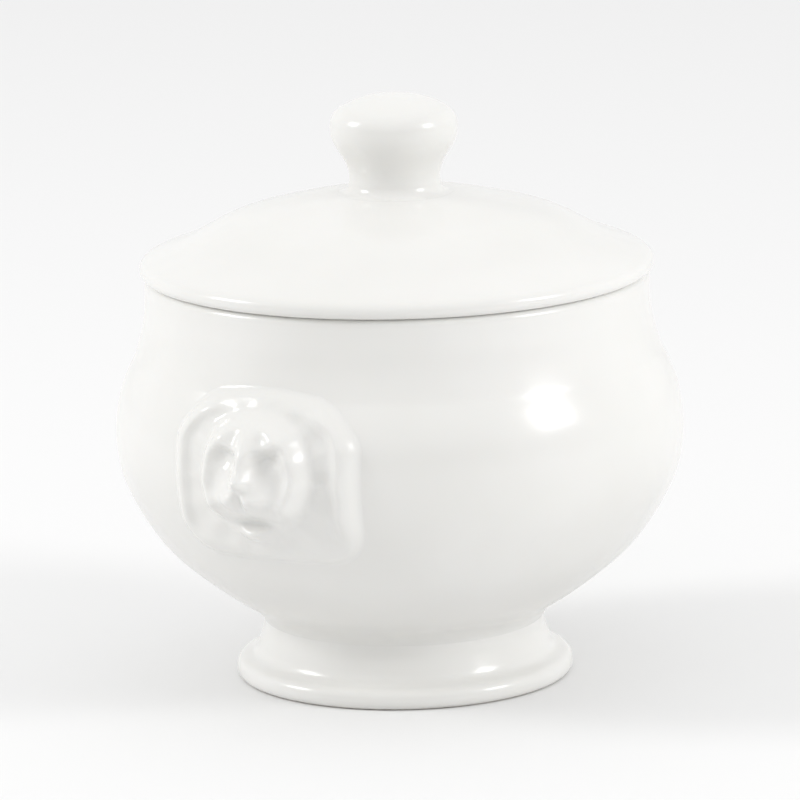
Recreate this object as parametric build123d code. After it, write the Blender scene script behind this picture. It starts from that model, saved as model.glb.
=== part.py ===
from build123d import *

import os

# Footed porcelain sugar bowl with two lion-mask lugs and a domed, knobbed lid.
#
# Millimetres. +Z is up and the origin is the centre of the foot's resting face. The lugs look
# out along +X and -X. Turned profiles are drawn as (radius, height). The pieces are those that
# the pottery makes apart and joins with slip before firing, and the lid, which lifts off.

# Bowl body
BELLY_R = 51.0  # widest outside radius
BELLY_Z = 45.5
WAIST_R = 25.3  # where the foot meets the body
WAIST_Z = 10.6
SHOULDER_R = 47.3  # soft crease between belly and neck
SHOULDER_Z = 59.0
SHOULDER_BLEND = 3.5
NECK_R = 45.2
RIM_Z = 73.5  # seat of the lid
RIM_ROUND = 1.3
WALL = 3.7
MOUTH_R = NECK_R - WALL
FLOOR_Z = 11.6  # inside floor at the centre
BASE_R = 20.2  # boss under the floor, which centres the foot
BASE_Z = 7.6

# Pedestal foot
FOOT_R = 30.4
FOOT_WIDEST_Z = 1.6
FOOT_FACE_OUT_R = 29.2  # flat resting ring
FOOT_FACE_IN_R = 26.6
FOOT_TOP_IN_R = BASE_R + 0.3

# Lid
LID_R = 46.05
LID_EDGE_Z = 75.3  # height of the widest point of the rolled edge
LID_FLAT_R = 44.4  # outer end of the seat
LID_WALL = 4.0  # at the centre, under the knob
LID_PAD_R = 10.3  # pad that the knob is joined to
LID_PAD_Z = 87.95
SPIGOT_CLEARANCE = 0.9
SPIGOT_WALL = 3.2
SPIGOT_OUT_R = MOUTH_R - SPIGOT_CLEARANCE
SPIGOT_IN_R = SPIGOT_OUT_R - SPIGOT_WALL
SPIGOT_ROOT_Z = 75.6
SPIGOT_TIP_Z = 68.6
SPIGOT_TIP_ROUND = SPIGOT_WALL / 2

# Knob
KNOB_R = 11.45
KNOB_WIDEST_Z = 99.8
KNOB_TOP_Z = 105.5
KNOB_NECK_R = 8.15
KNOB_NECK_Z = 90.4

# Mask lugs
LUG_Z = 45.6
LUG_WIDTH = 36.0
LUG_HEIGHT = 30.4
LUG_CORNER = 11.0
LUG_ROOT_X = BELLY_R - 22.0  # inside the belly, where the lug's prism starts
LUG_PRISM = 40.0
PLATE_T = 1.5  # above the belly
BORDER_T = 2.5
BORDER_W = 3.6
# Rounded features of the mask: half sizes along X, Y and Z, reach beyond the belly, and height
# above the lug's centre
FACE = ((6.2, 9.8, 10.4), 6.2, 0.6)
BROW = ((3.0, 7.0, 2.6), 6.2, 5.2)
MUZZLE = ((5.4, 5.2, 6.0), 8.8, 0.4)
CHIN = ((3.4, 4.6, 2.4), 4.4, -9.8)


def chain(*points):
    """Straight edges through the points."""
    return [Line(a, b) for a, b in zip(points, points[1:])]


def turn(outline):
    """Solid of the outline turned about Z."""
    return revolve(Plane.XZ * outline, axis=Axis.Z)


def outside_curves(grow=0.0):
    """Outside of the body from the waist to the rim, moved out by grow."""
    lower = Spline(
        (WAIST_R + grow, WAIST_Z),
        (29.8 + grow, 14.8),
        (36.2 + grow, 19.4),
        (42.6 + grow, 25.2),
        (47.5 + grow, 32.4),
        (BELLY_R + grow, BELLY_Z),
        tangents=[(0.4, 1), (0, 1)],
    )
    upper = Spline(
        (BELLY_R + grow, BELLY_Z),
        (50.0 + grow, 52.8),
        (SHOULDER_R + grow, SHOULDER_Z),
        tangents=[(0, 1), (-0.56, 1)],
    )
    neck = Spline(
        (SHOULDER_R + grow, SHOULDER_Z),
        (45.55 + grow, 66.0),
        (NECK_R + grow, RIM_Z - RIM_ROUND),
        tangents=[(-0.3, 1), (0, 1)],
    )
    return [lower, upper, neck]


def soften_shoulder(outline, grow=0.0):
    """Outline with the crease between belly and neck blended."""
    crease = outline.vertices().sort_by_distance((SHOULDER_R + grow, SHOULDER_Z))[0]
    return fillet(crease, SHOULDER_BLEND)


def filled_body(grow=0.0):
    """The body without its hollow, moved out by grow."""
    outside = outside_curves(grow)
    axis = chain(outside[-1] @ 1, (0, RIM_Z - RIM_ROUND), (0, WAIST_Z), outside[0] @ 0)
    return turn(soften_shoulder(make_face([*outside, *axis]), grow))


def bowl_body():
    inside = Spline(
        (MOUTH_R, RIM_Z - RIM_ROUND),
        (42.1, 66.0),
        (43.9, 59.4),
        (46.4, 53.0),
        (BELLY_R - WALL, BELLY_Z),
        (43.6, 33.2),
        (34.2, 22.6),
        (23.8, 15.0),
        (12.0, 12.4),
        (0, FLOOR_Z),
        tangents=[(0, -1), (-1, 0)],
    )
    outer_lip = (NECK_R - RIM_ROUND, RIM_Z)
    inner_lip = (MOUTH_R + RIM_ROUND, RIM_Z)
    rim = [
        RadiusArc((NECK_R, RIM_Z - RIM_ROUND), outer_lip, -RIM_ROUND),
        Line(outer_lip, inner_lip),
        RadiusArc(inner_lip, (MOUTH_R, RIM_Z - RIM_ROUND), -RIM_ROUND),
    ]
    base = chain(
        (0, FLOOR_Z), (0, BASE_Z), (BASE_R, BASE_Z), (BASE_R, WAIST_Z), (WAIST_R, WAIST_Z)
    )
    outline = make_face([*base, *outside_curves(), *rim, inside])
    return turn(soften_shoulder(outline))


def pedestal_foot():
    """Flared hollow ring under the body, with a flat resting face."""
    outside = Spline(
        (WAIST_R, WAIST_Z),
        (25.45, 8.9),
        (26.15, 6.6),
        (27.4, 4.2),
        (FOOT_R, FOOT_WIDEST_Z),
        tangents=[(0, -1), (0, -1)],
    )
    lip = Spline(
        (FOOT_R, FOOT_WIDEST_Z), (FOOT_FACE_OUT_R, 0), tangents=[(0, -1), (-1, -0.25)]
    )
    inside = Spline(
        (FOOT_FACE_IN_R, 0),
        (25.0, 2.2),
        (21.6, 6.6),
        (FOOT_TOP_IN_R, WAIST_Z),
        tangents=[(-1, 0.5), (0, 1)],
    )
    face = Line((FOOT_FACE_OUT_R, 0), (FOOT_FACE_IN_R, 0))
    top = Line((FOOT_TOP_IN_R, WAIST_Z), (WAIST_R, WAIST_Z))
    return turn(make_face([outside, lip, face, inside, top]))


def lid():
    """Domed lid with a rolled edge, a flat seat and a spigot that drops into the mouth."""
    dome = Spline(
        (LID_PAD_R, LID_PAD_Z),
        (22.0, 85.75),
        (31.0, 83.1),
        (38.5, 79.15),
        (44.0, 77.0),
        tangents=[(1, -0.08), (1, -0.38)],
    )
    edge = Spline(
        dome @ 1, (LID_R, LID_EDGE_Z), (LID_FLAT_R, RIM_Z), tangents=[(1, -0.38), (-1, -0.1)]
    )
    seat = Line((LID_FLAT_R, RIM_Z), (SPIGOT_OUT_R, RIM_Z))
    tip_z = SPIGOT_TIP_Z + SPIGOT_TIP_ROUND
    tip_middle = ((SPIGOT_OUT_R + SPIGOT_IN_R) / 2, SPIGOT_TIP_Z)
    spigot = [
        Line((SPIGOT_OUT_R, RIM_Z), (SPIGOT_OUT_R, tip_z)),
        ThreePointArc((SPIGOT_OUT_R, tip_z), tip_middle, (SPIGOT_IN_R, tip_z)),
        Line((SPIGOT_IN_R, tip_z), (SPIGOT_IN_R, SPIGOT_ROOT_Z)),
    ]
    under = Spline(
        (SPIGOT_IN_R, SPIGOT_ROOT_Z),
        (30.0, 79.7),
        (20.0, 82.6),
        (0, LID_PAD_Z - LID_WALL),
        tangents=[(-1, 0.62), (-1, 0)],
    )
    axis = chain((0, LID_PAD_Z - LID_WALL), (0, LID_PAD_Z), (LID_PAD_R, LID_PAD_Z))
    return turn(make_face([*axis, dome, edge, seat, *spigot, under]))


def lid_knob():
    root = Spline(
        (LID_PAD_R, LID_PAD_Z), (KNOB_NECK_R, KNOB_NECK_Z), tangents=[(-1, 0.1), (0, 1)]
    )
    stem = Spline(
        (KNOB_NECK_R, KNOB_NECK_Z),
        (9.9, 95.3),
        (KNOB_R, KNOB_WIDEST_Z),
        tangents=[(0, 1), (0, 1)],
    )
    crown = Spline(
        (KNOB_R, KNOB_WIDEST_Z),
        (8.5, 103.8),
        (0, KNOB_TOP_Z),
        tangents=[(0, 1), (-1, 0)],
    )
    base = chain((0, KNOB_TOP_Z), (0, LID_PAD_Z), (LID_PAD_R, LID_PAD_Z))
    return turn(make_face([root, stem, crown, *base]))


def lug_prism(inset=0.0):
    """Rounded outline of the lug, extruded outwards along +X."""
    outline = RectangleRounded(
        LUG_WIDTH - 2 * inset, LUG_HEIGHT - 2 * inset, LUG_CORNER - inset
    )
    place = Plane(origin=(LUG_ROOT_X, 0, LUG_Z), x_dir=(0, 1, 0), z_dir=(1, 0, 0))
    return extrude(place * outline, amount=LUG_PRISM)


def mask_feature(half, reach, lift):
    """Ellipsoid of the mask, whose tip stands out from the belly by reach."""
    return Pos(BELLY_R + reach - half[0], 0, LUG_Z + lift) * scale(Sphere(1), by=half)


def mask_lug():
    """Lug on +X: plate, raised border and mask, with its back on the belly."""
    lug = lug_prism() & filled_body(PLATE_T)
    lug += (lug_prism() - lug_prism(BORDER_W)) & filled_body(BORDER_T)
    for feature in (FACE, BROW, MUZZLE, CHIN):
        lug += mask_feature(*feature)
    return lug - filled_body()


def main():
    right = mask_lug()
    pieces = {
        "bowl_body": bowl_body(),
        "pedestal_foot": pedestal_foot(),
        "mask_lug_right": right,
        "mask_lug_left": Rot(0, 0, 180) * right,
        "lid": lid(),
        "lid_knob": lid_knob(),
    }
    os.makedirs("parts", exist_ok=True)
    for name, piece in pieces.items():
        export_step(piece, f"parts/{name}.step")


main()
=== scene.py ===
import math

import bpy
import numpy as np
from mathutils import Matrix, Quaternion, Vector


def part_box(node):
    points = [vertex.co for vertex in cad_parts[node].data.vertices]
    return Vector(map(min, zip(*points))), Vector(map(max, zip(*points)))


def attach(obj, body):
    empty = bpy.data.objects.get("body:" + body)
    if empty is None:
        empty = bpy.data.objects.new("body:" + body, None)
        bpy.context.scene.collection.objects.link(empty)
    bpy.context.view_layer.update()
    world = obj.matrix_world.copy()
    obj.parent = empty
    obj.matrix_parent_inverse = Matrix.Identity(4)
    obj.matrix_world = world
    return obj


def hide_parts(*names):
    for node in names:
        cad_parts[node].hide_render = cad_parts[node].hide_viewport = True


# White porcelain sugar bowl: turned body, foot, lid and knob read from the frame's own
# sections, and a lion mask modelled in relief on each side. Lengths are metres, except in the
# mask relief, which is worked out in millimetres.

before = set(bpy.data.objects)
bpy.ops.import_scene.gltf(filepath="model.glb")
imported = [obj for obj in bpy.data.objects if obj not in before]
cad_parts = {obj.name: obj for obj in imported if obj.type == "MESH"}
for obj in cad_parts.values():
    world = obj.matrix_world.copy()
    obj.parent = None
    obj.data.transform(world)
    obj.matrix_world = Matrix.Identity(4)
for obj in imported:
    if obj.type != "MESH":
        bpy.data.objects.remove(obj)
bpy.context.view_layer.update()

MM = 0.001

# Turned pieces
TURN_STEPS = 256
FINE_STEP = 0.1 * MM  # spacing of the outline before it is thinned
GLAZE_ROUND = 0.28 * MM  # how far the glaze rounds an edge
ROW_LENGTH = 1.0 * MM  # longest row of faces along an outline
ROW_TURN = math.radians(6)  # sharpest turn from row to row
JOINT_REACH = 1.2 * MM  # edges nearer than this to a joint stay crisp
SHORTEST_ROW = 0.3  # share of a row, next to one that has to stay
CORNER = math.radians(25)  # a sharper turn than this ends a smooth run
SHARP_EDGE = math.radians(50)  # a sharper edge than this is shaded as one

# Handmade unevenness: share of the radius lost, with two and with three lobes
OVAL = 0.0016
TREFOIL = 0.0008

# Mask relief, in millimetres
LUG_Z = (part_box("mask_lug_right")[0].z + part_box("mask_lug_right")[1].z) / 2 / MM
BELLY_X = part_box("bowl_body")[1].x / MM
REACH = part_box("mask_lug_right")[1].x / MM - BELLY_X  # how far the CAD lug stands out
PLATE_HALF_U = 18.0  # half width of the plate
PLATE_HALF_V = 15.1  # and half height
FACE_DROP = 0.6  # from the plate's middle to the face's
NOSE_CLEARANCE = 0.15  # kept inside the CAD lug's reach
LUG_CELLS = 150
LUG_MARGIN = 3.2  # skirt beyond the plate, which dies into the belly
LUG_SQUARENESS = 0.31  # 0.5 makes the lug's border an ellipse, 0 a rectangle
SKIRT_SINK = 0.03  # how far the skirt's edge lies under the belly
BACK_SINK = 0.2  # and the lug's back
RELIEF_BLUR = 0.38

# Camera and light
CAMERA_AZIMUTH = -60.6
CAMERA_ELEVATION = 12.1
CAMERA_DISTANCE = 1.2
CAMERA_ROLL = 1.23
LENS_MM = 300.7
AIM = Vector((0.00004, -0.00008, 0.0498))
STUDIO_LIGHT = 0.94  # brightness of the studio
DARK_END = 0.38  # and of its darker end, low down behind the camera
FLOOR_WHITE = 0.84
FLOOR_REACH = 6.0


# --- Turned pieces ------------------------------------------------------------------------

def seam_section(node):
    """Ordered (radius, height) points where a turned CAD node meets the XZ half plane."""
    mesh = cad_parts[node].data
    on_seam = {}
    for v in mesh.vertices:
        if abs(v.co.y) < 1e-7 and v.co.x > -1e-7:
            on_seam[v.index] = (round(v.co.x, 7), round(v.co.z, 7))
    links = {}
    for edge in mesh.edges:
        a, b = (on_seam.get(i) for i in edge.vertices)
        if a is None or b is None or a == b:
            continue
        links.setdefault(a, set()).add(b)
        links.setdefault(b, set()).add(a)
    ends = [p for p in links if len(links[p]) == 1]
    walk = [min(ends or links, key=lambda p: (p[0], -p[1]))]
    while True:
        onward = [p for p in links[walk[-1]] if p not in walk[-2:] and p != walk[0]]
        if not onward:
            break
        walk.append(onward[0])
    if not ends:
        walk.append(walk[0])
    elif walk[-1][0] > 0:
        walk.append((0.0, walk[-1][1]))  # a flat disc has no vertex at its centre
    return np.array(walk)


def lengths_along(points):
    steps = np.linalg.norm(np.diff(points, axis=0), axis=1)
    return np.concatenate([[0.0], np.cumsum(steps)])


def natural_spline(points, step):
    """Evenly spaced points on the natural cubic spline through points."""
    s = lengths_along(points)
    count = max(2, int(math.ceil(s[-1] / step)) + 1)
    at = np.linspace(0, s[-1], count)
    if len(points) < 4:
        return np.stack([np.interp(at, s, points[:, k]) for k in (0, 1)], axis=1)
    h = np.diff(s)
    matrix = np.eye(len(s))
    right = np.zeros((len(s), 2))
    for i in range(1, len(s) - 1):
        matrix[i, i - 1:i + 2] = h[i - 1], 2 * (h[i - 1] + h[i]), h[i]
        slopes = np.diff(points[i - 1:i + 2], axis=0) / h[i - 1:i + 1, None]
        right[i] = 6 * (slopes[1] - slopes[0])
    bend = np.linalg.solve(matrix, right)
    i = np.clip(np.searchsorted(s, at, side="right") - 1, 0, len(h) - 1)
    left, span = (at - s[i])[:, None], h[i][:, None]
    rest = span - left
    return (
        bend[i] * rest**3 / (6 * span)
        + bend[i + 1] * left**3 / (6 * span)
        + (points[i] / span - bend[i] * span / 6) * rest
        + (points[i + 1] / span - bend[i + 1] * span / 6) * left
    )


def turns(points):
    """Turning angle at each inner point."""
    d = np.diff(points, axis=0)
    angle = np.unwrap(np.arctan2(d[:, 1], d[:, 0]))
    return np.abs(np.diff(angle))


def softened(fine, closed):
    """Fine outline averaged along its length, as glaze runs over an edge."""
    reach = int(3 * GLAZE_ROUND / FINE_STEP)
    kernel = np.exp(-0.5 * (np.arange(-reach, reach + 1) * FINE_STEP / GLAZE_ROUND) ** 2)
    kernel /= kernel.sum()
    if closed:
        padded = np.concatenate([fine[-reach - 1:-1], fine, fine[1:reach + 1]])
    else:
        flip = np.array([-1.0, 1.0])  # the outline goes on, mirrored, past the axis
        before = fine[1:reach + 1][::-1] * flip
        after = fine[-reach - 1:-1][::-1] * flip
        padded = np.concatenate([before, fine, after])
    soft = np.stack([np.convolve(padded[:, k], kernel, "valid") for k in (0, 1)], axis=1)
    if not closed:
        soft[[0, -1], 0] = 0.0
    return soft


def thinned(outline, kept):
    """Outline with rows where its length and its bends ask for them, and at kept."""
    bend = np.concatenate([[0.0], turns(outline), [0.0]])
    bend[kept] = 0.0  # a row stands on each of these in any case
    cost = np.diff(lengths_along(outline)) / ROW_LENGTH + (bend[1:] + bend[:-1]) / 2 / ROW_TURN
    spent = np.concatenate([[0.0], np.cumsum(cost)])
    at = np.linspace(0, spent[-1], int(math.ceil(spent[-1])) + 1)
    at = at[np.abs(at[:, None] - spent[kept]).min(axis=1) > SHORTEST_ROW]
    at = np.union1d(at, spent[kept])
    return np.stack([np.interp(at, spent, outline[:, k]) for k in (0, 1)], axis=1)


def glazed_outline(section, joint_heights):
    """Section redrawn as smooth runs, its edges rounded by glaze except at the joints."""
    on_joint = np.isin(np.round(section[:, 1], 6), np.round(joint_heights, 6))
    corners = np.nonzero((turns(section) > CORNER) | on_joint[1:-1])[0] + 1
    breaks = [0, *corners, len(section) - 1]
    runs = [
        natural_spline(section[a:b + 1], FINE_STEP)
        for a, b in zip(breaks, breaks[1:])
    ]
    fine = np.concatenate([runs[0], *[run[1:] for run in runs[1:]]])
    run_ends = np.cumsum([0] + [len(run) - 1 for run in runs])

    soft = softened(fine, closed=np.allclose(section[0], section[-1]))
    crisp = np.zeros(len(fine))
    for height in joint_heights:
        crisp = np.maximum(crisp, 1 - np.abs(fine[:, 1] - height) / JOINT_REACH)
    outline = soft + (fine - soft) * crisp[:, None]

    # a spline can swing slightly past its points, but the piece keeps to the section's box
    outline = np.clip(outline, section.min(axis=0), section.max(axis=0))
    return thinned(outline, run_ends)


def hand_thrown(points):
    """The same slight unevenness for every piece, so that the pieces still fit."""
    angle = np.arctan2(points[:, 1], points[:, 0])
    height = points[:, 2] / MM
    loss = OVAL * (1 + np.cos(2 * angle + 0.7)) / 2
    loss += TREFOIL * (1 + np.cos(3 * angle + 2.1 + height / 45)) / 2
    moved = points.copy()
    moved[:, :2] *= (1 - loss)[:, None]
    return moved


def mesh_object(name, points, faces):
    mesh = bpy.data.meshes.new(name)
    mesh.from_pydata(hand_thrown(points).tolist(), [], faces)
    mesh.shade_smooth()
    mesh.set_sharp_from_angle(angle=SHARP_EDGE)
    mesh.update()
    piece = bpy.data.objects.new(name, mesh)
    bpy.context.scene.collection.objects.link(piece)
    return piece


def turned(name, outline):
    """Closed mesh of an outline turned about Z. An outline's ends meet, or are on the axis."""
    closed = np.allclose(outline[0], outline[-1])
    rings = outline[:-1] if closed else outline[1:-1]
    angles = np.arange(TURN_STEPS) * 2 * math.pi / TURN_STEPS
    around = np.stack([np.cos(angles), np.sin(angles)], axis=1)
    points = [
        np.column_stack([r * around, np.full(TURN_STEPS, z)]) for r, z in rings
    ]
    faces = []
    pairs = list(zip(range(len(rings)), range(1, len(rings))))
    if closed:
        pairs.append((len(rings) - 1, 0))
    for low, high in pairs:
        for i in range(TURN_STEPS):
            j = (i + 1) % TURN_STEPS
            a, b = low * TURN_STEPS, high * TURN_STEPS
            faces.append((a + i, a + j, b + j, b + i))
    if not closed:
        first = len(rings) * TURN_STEPS
        last = first + 1
        points.append(np.array([[0, 0, outline[0][1]], [0, 0, outline[-1][1]]]))
        top = (len(rings) - 1) * TURN_STEPS
        for i in range(TURN_STEPS):
            j = (i + 1) % TURN_STEPS
            faces.append((first, j, i))
            faces.append((last, top + i, top + j))
    piece = mesh_object(name, np.concatenate(points), faces)
    face_outwards(piece)
    return piece


def face_outwards(piece):
    """Turns a closed mesh's faces outwards, if its signed volume says they look inwards."""
    mesh = piece.data
    mesh.calc_loop_triangles()
    co = np.array([v.co for v in mesh.vertices])
    tri = np.array([t.vertices for t in mesh.loop_triangles])
    volume = np.einsum("ij,ij->i", co[tri[:, 0]], np.cross(co[tri[:, 1]], co[tri[:, 2]])).sum()
    if volume < 0:
        mesh.flip_normals()


# --- Mask relief --------------------------------------------------------------------------

def smooth_step(x, low, high):
    t = np.clip((x - low) / (high - low), 0, 1)
    return t * t * (3 - 2 * t)


def mound(u, v, at, half, height, tilt=0.0):
    """Rounded rise centred at a point, mirrored across the face's middle."""
    du, dv = np.abs(u) - at[0], v - at[1]
    c, s = math.cos(tilt), math.sin(tilt)
    a, b = (c * du + s * dv) / half[0], (c * dv - s * du) / half[1]
    return height * np.exp(-(a * a + b * b))


def crescent(u, v, centre, radii, angles, width, height):
    """Ridge along a stretch of an ellipse about (0, centre), mirrored; it fades at its ends."""
    a, b = np.abs(u) / radii[0], (v - centre) / radii[1]
    off = (np.hypot(a, b) - 1) * (radii[0] + radii[1]) / 2
    bearing = np.degrees(np.arctan2(b, a))
    fade = smooth_step(bearing, angles[0] - 14, angles[0] + 14)
    fade *= 1 - smooth_step(bearing, angles[1] - 14, angles[1] + 14)
    return height * fade * np.exp(-((off / width) ** 2))


def plate_distance(u, v):
    """Distance outside the plate's outline, negative inside. Its top edge is slightly arched."""
    corner = 7.0 + 2.0 * smooth_step(v, -6, 10)
    arch = 0.010 * u**2 * smooth_step(v, 0, 12)
    a = np.abs(u) - (PLATE_HALF_U - corner)
    b = np.abs(v) + arch - (PLATE_HALF_V - corner)
    outside = np.hypot(np.clip(a, 0, None), np.clip(b, 0, None))
    return outside + np.clip(np.maximum(a, b), None, 0) - corner


def soft_max(a, b, k):
    """The higher of a and b, blended where they cross. Two zeros give zero."""
    return (np.logaddexp(a * k, b * k) - math.log(2)) / k


def mask_height(u, v):
    """Height of the relief above the belly, in mm, at u across and v up from the lug's centre."""
    d = plate_distance(u, v)
    inside = 1 - smooth_step(d, -0.9, 0.5)
    bearing = np.arctan2(v, np.abs(u))

    # mane: an outer roll, thickest at the sides, and strands that run in from it to the face
    roll = 0.35 + 0.65 * smooth_step(np.abs(u), 6, 13)
    roll *= 0.45 + 0.55 * smooth_step(v, -14, -5)
    mane = 1.4 * inside + 1.15 * roll * np.exp(-(((d + 2.2) / 1.4) ** 2))
    mane += 0.14 * smooth_step(-d, 0.8, 3.0) * np.cos(16 * bearing)

    # head: a low face inside a soft ring of locks
    v = v + FACE_DROP
    rho = np.hypot(u / 10.8, (v - 1.4) / 11.6)
    head = 3.5 * (1 - smooth_step(rho, 0.78, 1.14))
    locks = crescent(u, v, 1.8, (9.0, 9.0), (-50, 75), 1.8, 1.4)
    head += locks * (1 + 0.12 * np.cos(12 * bearing))
    head += mound(u, v, (8.0, 9.4), (1.8, 1.5), 0.9)

    # forehead, brow and eyes
    head += mound(u, v, (0.0, 9.0), (3.2, 2.3), 0.9)
    head += mound(u, v, (3.6, 7.2), (2.8, 1.2), 1.2, 0.30)
    head -= mound(u, v, (3.7, 4.9), (1.9, 1.3), 1.1, 0.35)
    head += mound(u, v, (3.8, 4.7), (0.9, 0.6), 0.7, 0.35)

    # broad nose, and the muzzle with its two full lips
    head += mound(u, v, (0.0, 4.6), (1.8, 4.4), 3.4)
    head += mound(u, v, (0.0, 1.4), (2.2, 1.3), 1.9)
    head += mound(u, v, (0.0, -0.4), (4.8, 4.4), 1.9)
    head += mound(u, v, (2.5, -2.0), (2.7, 2.2), 2.8, 0.20)
    head -= mound(u, v, (0.0, -1.9), (0.5, 1.6), 0.8)
    head += mound(u, v, (6.8, -2.6), (2.2, 2.4), 0.7)

    # mouth, chin and beard
    head -= mound(u, v, (0.0, -6.8), (4.6, 1.2), 2.4)
    head += mound(u, v, (0.0, -9.4), (3.3, 1.5), 1.6)
    head += mound(u, v, (1.8, -11.4), (1.1, 1.4), 0.4)

    return soft_max(mane, np.maximum(head, 0) * inside, 2.2)


def blurred(grid, cell_mm):
    """Grid smoothed along both of its directions."""
    reach = max(1, int(round(3 * RELIEF_BLUR / cell_mm)))
    kernel = np.exp(-0.5 * (np.arange(-reach, reach + 1) * cell_mm / RELIEF_BLUR) ** 2)
    kernel /= kernel.sum()
    for axis in (0, 1):
        pad = [(reach, reach) if k == axis else (0, 0) for k in (0, 1)]
        grid = np.apply_along_axis(
            lambda line: np.convolve(line, kernel, "valid"), axis, np.pad(grid, pad, "edge")
        )
    return grid


def mask_lug(name, outside, side):
    """Lion mask in relief on the belly. outside is the belly's outline, side is 1 or -1."""
    half_u, half_v = PLATE_HALF_U + LUG_MARGIN, PLATE_HALF_V + LUG_MARGIN
    line = np.linspace(-1, 1, LUG_CELLS + 1)
    a, b = np.meshgrid(line, line, indexing="ij")
    u = half_u * a * np.sqrt(1 - LUG_SQUARENESS * b * b)
    v = half_v * b * np.sqrt(1 - LUG_SQUARENESS * a * a)
    height = blurred(mask_height(u, v), 2 * half_u / LUG_CELLS)
    height *= (REACH - NOSE_CLEARANCE) / height.max()
    height -= SKIRT_SINK
    radius = np.interp(LUG_Z + v, outside[:, 1] / MM, outside[:, 0] / MM)
    belly = np.sqrt(radius**2 - u**2)
    front = np.stack([side * (belly + height), side * u, LUG_Z + v], axis=-1)
    back = np.stack([side * (belly - BACK_SINK), side * u, LUG_Z + v], axis=-1)
    points = np.concatenate([front.reshape(-1, 3), back.reshape(-1, 3)]) * MM

    wide = LUG_CELLS + 1
    faces = []
    for i in range(LUG_CELLS):
        for j in range(LUG_CELLS):
            k = i * wide + j
            quad = (k, k + wide, k + wide + 1, k + 1)
            faces.append(quad)
            faces.append(tuple(wide * wide + c for c in reversed(quad)))
    rim = [(i, 0) for i in range(LUG_CELLS)]
    rim += [(LUG_CELLS, j) for j in range(LUG_CELLS)]
    rim += [(i, LUG_CELLS) for i in range(LUG_CELLS, 0, -1)]
    rim += [(0, j) for j in range(LUG_CELLS, 0, -1)]
    rim = [i * wide + j for i, j in rim]
    for p, q in zip(rim, rim[1:] + rim[:1]):
        faces.append((q, p, wide * wide + p, wide * wide + q))
    piece = mesh_object(name, points, faces)
    face_outwards(piece)
    return piece


# --- Materials ----------------------------------------------------------------------------

def porcelain(name, bare_below):
    """Warm white body under clear gloss glaze, wiped bare below a height."""
    material = bpy.data.materials.new(name)
    material.use_nodes = True
    nodes, links = material.node_tree.nodes, material.node_tree.links
    shader = nodes["Principled BSDF"]
    shader.inputs["IOR"].default_value = 1.52
    shader.inputs["Subsurface Weight"].default_value = 0.05
    shader.inputs["Subsurface Radius"].default_value = (1.0, 0.8, 0.6)
    shader.inputs["Subsurface Scale"].default_value = 0.0006
    place = nodes.new("ShaderNodeTexCoord")

    def noise(scale, detail=3.0):
        node = nodes.new("ShaderNodeTexNoise")
        node.inputs["Scale"].default_value = scale
        node.inputs["Detail"].default_value = detail
        links.new(place.outputs["Object"], node.inputs["Vector"])
        return node.outputs["Fac"]

    def ramp(source, low, high, at=(0.35, 0.65)):
        node = nodes.new("ShaderNodeValToRGB")
        node.color_ramp.elements[0].position = at[0]
        node.color_ramp.elements[1].position = at[1]
        node.color_ramp.elements[0].color = (*low, 1)
        node.color_ramp.elements[1].color = (*high, 1)
        links.new(source, node.inputs["Fac"])
        return node.outputs["Color"]

    def mix(factor, first, second):
        node = nodes.new("ShaderNodeMix")
        node.data_type = "RGBA"
        links.new(factor, node.inputs["Factor"])
        links.new(first, node.inputs["A"])
        links.new(second, node.inputs["B"])
        return node.outputs["Result"]

    def fit(source, low, high, to_low, to_high):
        node = nodes.new("ShaderNodeMapRange")
        node.inputs["From Min"].default_value = low
        node.inputs["From Max"].default_value = high
        node.inputs["To Min"].default_value = to_low
        node.inputs["To Max"].default_value = to_high
        links.new(source, node.inputs["Value"])
        return node.outputs["Result"]

    # glaze colour: cloudy warm white, darker and cooler in hollows, partly pooled glaze and
    # partly painted shade
    cloudy = ramp(noise(28.0), (0.795, 0.79, 0.765), (0.825, 0.82, 0.80))
    pooled_and_painted_shade = ramp(noise(60.0), (0.77, 0.775, 0.755), (0.79, 0.795, 0.775))
    shape = nodes.new("ShaderNodeNewGeometry")
    # concave places get the darker colour: painted shade along with the pooled glaze
    hollow = fit(shape.outputs["Pointiness"], 0.42, 0.49, 1.0, 0.0)
    glaze = mix(hollow, cloudy, pooled_and_painted_shade)

    # bare clay where the piece stood in the kiln
    split = nodes.new("ShaderNodeSeparateXYZ")
    links.new(place.outputs["Object"], split.inputs["Vector"])
    clay = ramp(noise(900.0, 6.0), (0.60, 0.57, 0.52), (0.72, 0.69, 0.64))
    bare = fit(split.outputs["Z"], bare_below, bare_below + 0.25 * MM, 1.0, 0.0)
    links.new(mix(bare, glaze, clay), shader.inputs["Base Color"])

    # gloss: slightly uneven glaze, dull bare clay
    gloss = fit(noise(45.0), 0.3, 0.7, 0.15, 0.22)
    dull = nodes.new("ShaderNodeMath")
    dull.operation = "MAXIMUM"
    links.new(gloss, dull.inputs[0])
    links.new(fit(bare, 0.0, 1.0, 0.0, 0.8), dull.inputs[1])
    links.new(dull.outputs["Value"], shader.inputs["Roughness"])

    # surface: the glaze's orange peel over long gentle waves
    peel = nodes.new("ShaderNodeBump")
    peel.inputs["Strength"].default_value = 0.25
    peel.inputs["Distance"].default_value = 0.02 * MM
    links.new(noise(420.0, 2.0), peel.inputs["Height"])
    waves = nodes.new("ShaderNodeBump")
    waves.inputs["Strength"].default_value = 0.3
    waves.inputs["Distance"].default_value = 0.25 * MM
    links.new(noise(55.0, 1.0), waves.inputs["Height"])
    links.new(peel.outputs["Normal"], waves.inputs["Normal"])
    links.new(waves.outputs["Normal"], shader.inputs["Normal"])
    return material


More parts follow.
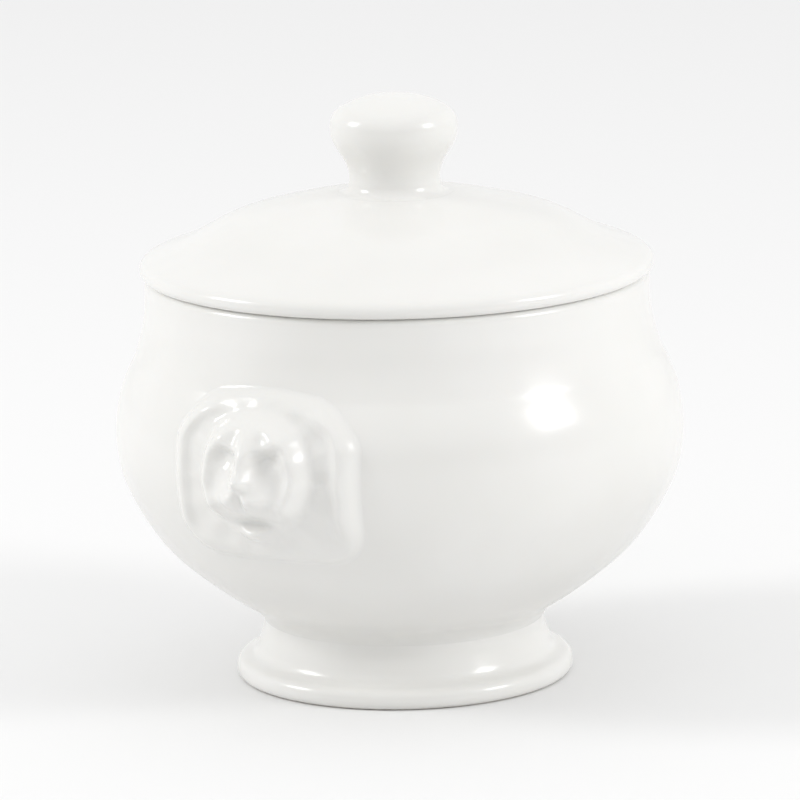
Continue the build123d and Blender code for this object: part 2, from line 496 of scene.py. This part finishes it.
def plain(name, colour, roughness):
    material = bpy.data.materials.new(name)
    material.use_nodes = True
    shader = material.node_tree.nodes["Principled BSDF"]
    shader.inputs["Base Color"].default_value = (*colour, 1)
    shader.inputs["Roughness"].default_value = roughness
    return material


# --- Stage --------------------------------------------------------------------------------

def direction(azimuth, elevation):
    """Unit vector from the object: azimuth 0 is towards -Y and 90 towards +X."""
    a, e = math.radians(azimuth), math.radians(elevation)
    return Vector((math.sin(a) * math.cos(e), -math.cos(a) * math.cos(e), math.sin(e)))


def softbox(name, azimuth, elevation, distance, size, power):
    """Square studio light that faces the object. Azimuth is counted from the camera's."""
    light = bpy.data.lights.new(name, "AREA")
    light.shape = "RECTANGLE"
    light.size, light.size_y = size
    light.energy = power
    lamp = bpy.data.objects.new(name, light)
    back = direction(CAMERA_AZIMUTH + azimuth, elevation)
    lamp.location = AIM + back * distance
    lamp.rotation_mode = "QUATERNION"
    lamp.rotation_quaternion = back.to_track_quat("Z", "Y")
    lamp.visible_camera = False
    bpy.context.scene.collection.objects.link(lamp)


def studio_world():
    """Pale studio all round, darker low down at the end where the camera stands."""
    world = bpy.data.worlds.new("studio")
    world.use_nodes = True
    nodes, links = world.node_tree.nodes, world.node_tree.links

    def fit(source, low, high, to_low, to_high):
        node = nodes.new("ShaderNodeMapRange")
        node.interpolation_type = "SMOOTHSTEP"
        node.inputs["From Min"].default_value = low
        node.inputs["From Max"].default_value = high
        node.inputs["To Min"].default_value = to_low
        node.inputs["To Max"].default_value = to_high
        links.new(source, node.inputs["Value"])
        return node.outputs["Result"]

    place = nodes.new("ShaderNodeTexCoord")
    facing = nodes.new("ShaderNodeVectorMath")
    facing.operation = "DOT_PRODUCT"
    facing.inputs[1].default_value = direction(CAMERA_AZIMUTH, 0)
    links.new(place.outputs["Generated"], facing.inputs[0])
    split = nodes.new("ShaderNodeSeparateXYZ")
    links.new(place.outputs["Generated"], split.inputs["Vector"])
    dark = nodes.new("ShaderNodeMath")
    dark.operation = "MULTIPLY"
    links.new(fit(facing.outputs["Value"], -0.1, 0.85, 0, 1), dark.inputs[0])
    links.new(fit(split.outputs["Z"], 0.05, 0.50, 1, 0), dark.inputs[1])
    level = fit(dark.outputs["Value"], 0, 1, STUDIO_LIGHT, DARK_END)
    links.new(level, nodes["Background"].inputs["Strength"])
    nodes["Background"].inputs["Color"].default_value = (1, 1, 1, 1)
    return world


def make_stage():
    scene = bpy.context.scene
    scene.view_settings.view_transform = "Standard"

    scene.world = studio_world()
    softbox("softbox_left", -86, 30, 1.3, (0.36, 0.36), 4.5)
    softbox("softbox_right", 68, 25, 1.3, (0.36, 0.36), 4.5)

    mesh = bpy.data.meshes.new("floor")
    far = FLOOR_REACH
    corners = [(-far, -far, 0), (far, -far, 0), (far, far, 0), (-far, far, 0)]
    mesh.from_pydata(corners, [], [(0, 1, 2, 3)])
    floor = bpy.data.objects.new("floor", mesh)
    scene.collection.objects.link(floor)
    mesh.materials.append(plain("floor_paper", (FLOOR_WHITE,) * 3, 0.9))

    lens = bpy.data.cameras.new("camera")
    lens.lens = LENS_MM
    lens.sensor_width = 36
    lens.clip_end = 50
    camera = bpy.data.objects.new("camera", lens)
    back = direction(CAMERA_AZIMUTH, CAMERA_ELEVATION)
    camera.location = AIM + back * CAMERA_DISTANCE
    camera.rotation_mode = "QUATERNION"
    roll = Quaternion((0, 0, 1), math.radians(-CAMERA_ROLL))
    camera.rotation_quaternion = (-back).to_track_quat("-Z", "Y") @ roll
    scene.collection.objects.link(camera)
    scene.camera = camera


# --- Assembly -----------------------------------------------------------------------------

def finish_piece(piece, node, body, material):
    piece.data.materials.append(material)
    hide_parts(node)
    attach(piece, body)


def outer_side(outline, waist_r, waist_z):
    """The part of the body's outline from the waist to the top of the rim, low to high."""
    top = int(np.argmax(outline[:, 1]))
    start = int(np.argmin(np.hypot(outline[:, 0] - waist_r, outline[:, 1] - waist_z)))
    run = outline[min(start, top):max(start, top) + 1]
    return run if run[0, 1] < run[-1, 1] else run[::-1]


TURNED = ("bowl_body", "pedestal_foot", "lid", "lid_knob")
sections = {node: seam_section(node) for node in TURNED}
waist_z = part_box("pedestal_foot")[1].z
pad_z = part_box("lid_knob")[0].z
foot = sections["pedestal_foot"]
waist_r = foot[np.abs(foot[:, 1] - waist_z) < 1e-6, 0].max()

outlines = {node: glazed_outline(s, (waist_z, pad_z)) for node, s in sections.items()}
outside = outer_side(outlines["bowl_body"], waist_r, waist_z)

ware = porcelain("porcelain_body", bare_below=-1.0)
foot_ware = porcelain("porcelain_foot", bare_below=0.15 * MM)
lid_ware = porcelain("porcelain_lid", bare_below=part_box("lid")[0].z + 0.5 * MM)

finish_piece(turned("bowl_body_glazed", outlines["bowl_body"]), "bowl_body", "bowl", ware)
finish_piece(turned("foot_glazed", outlines["pedestal_foot"]), "pedestal_foot", "bowl", foot_ware)
finish_piece(mask_lug("mask_right_relief", outside, 1), "mask_lug_right", "bowl", ware)
finish_piece(mask_lug("mask_left_relief", outside, -1), "mask_lug_left", "bowl", ware)
finish_piece(turned("lid_glazed", outlines["lid"]), "lid", "lid", lid_ware)
finish_piece(turned("knob_glazed", outlines["lid_knob"]), "lid_knob", "lid", lid_ware)

make_stage()
